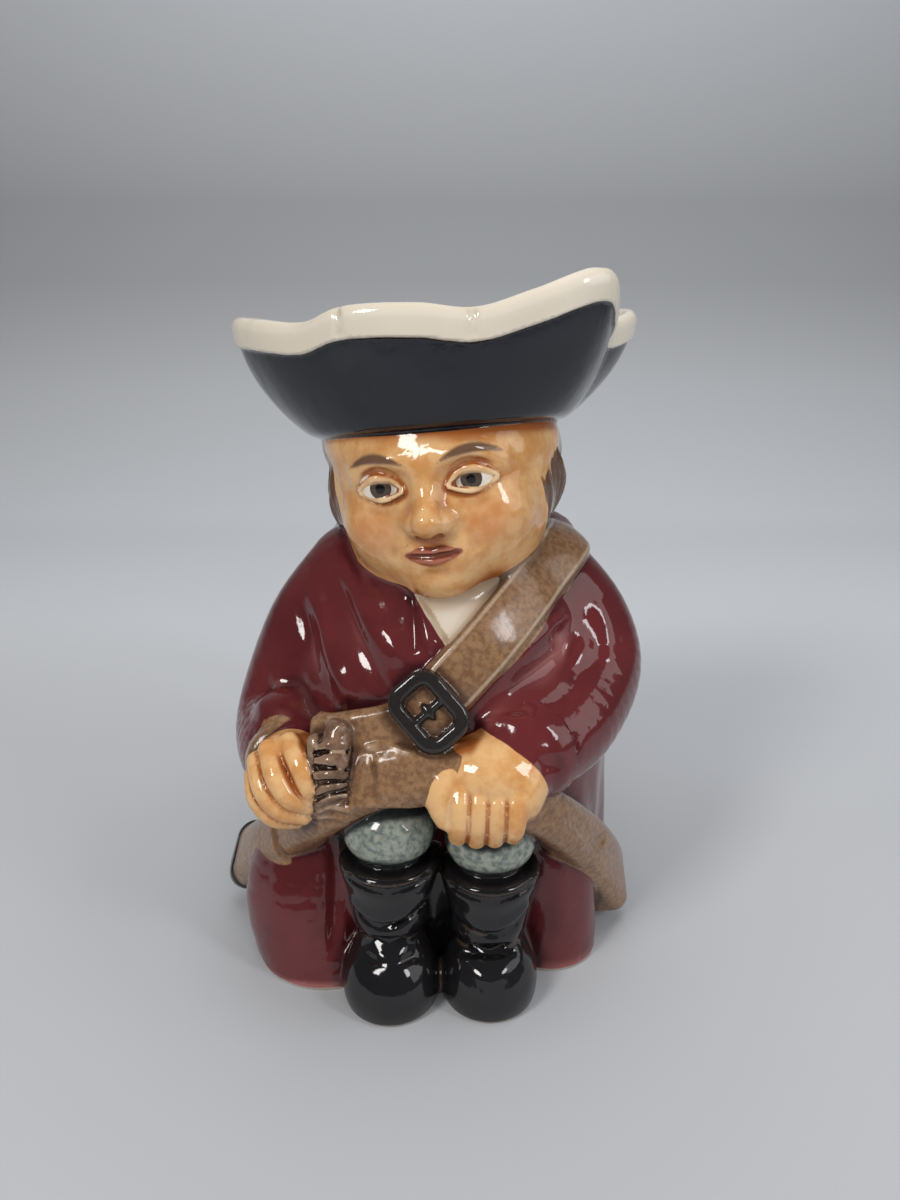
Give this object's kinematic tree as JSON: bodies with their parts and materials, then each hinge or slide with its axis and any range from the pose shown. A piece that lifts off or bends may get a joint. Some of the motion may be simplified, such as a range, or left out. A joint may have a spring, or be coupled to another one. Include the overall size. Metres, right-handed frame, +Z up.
{
  "type": "toby jug",
  "caption": "Hollow ceramic jug shaped as a seated figure with a long gun across the lap; the open cocked hat is its mouth and a loop handle stands behind.",
  "frame": {"origin": "middle of the jug's bounding box on the floor it stands on", "axes": "+Z up; the figure looks towards -Y, the handle stands out towards +Y, and +X is the figure's left"},
  "size_m": [0.1068, 0.1272, 0.1599],
  "materials": {
    "glaze": "Hand-painted earthenware under a clear high-gloss glaze: maroon coat, black hat and boots, cream hat band, inside and shirt, brown mottled belt and gun, tinted skin."
  },
  "bodies": {
    "root": {"toby_jug": "glaze"}
  },
  "joints": []
}
